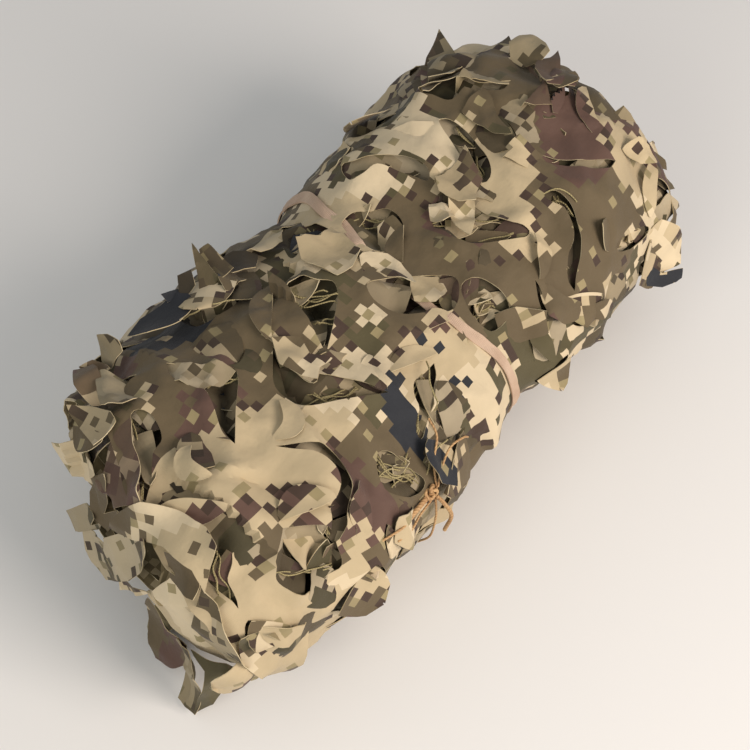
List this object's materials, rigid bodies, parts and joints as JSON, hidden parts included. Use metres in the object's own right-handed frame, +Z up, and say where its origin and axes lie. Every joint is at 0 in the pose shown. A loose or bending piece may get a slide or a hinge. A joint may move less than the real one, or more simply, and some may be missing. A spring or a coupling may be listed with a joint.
{
  "type": "rolled camouflage netting",
  "caption": "Leaf-cut camouflage cloth net rolled into a lumpy bolster, tied round the waist with a flat tape and at the front with a knotted string.",
  "frame": {"origin": "on the ground under the middle of the roll's box, measured without the string's two free ends", "axes": "+X along the roll, towards its squarer far end; +Z up; the front, where the string is knotted, is -Y"},
  "size_m": [0.5936, 0.2918, 0.195],
  "materials": {
    "net_cloth_khaki": "matt printed polyester cloth in tan, khaki, brown and dark blocks",
    "net_cloth_brown": "matt printed polyester cloth, the shaded inner turns",
    "webbing_tan": "matt woven tape",
    "string_tan": "twisted string"
  },
  "bodies": {
    "root": {"rolled_turns": "net_cloth_brown", "outermost_turn": "net_cloth_khaki", "waist_tape": "webbing_tan", "tie_knot": "string_tan", "tie_end_1": "string_tan", "tie_end_2": "string_tan"}
  },
  "joints": []
}
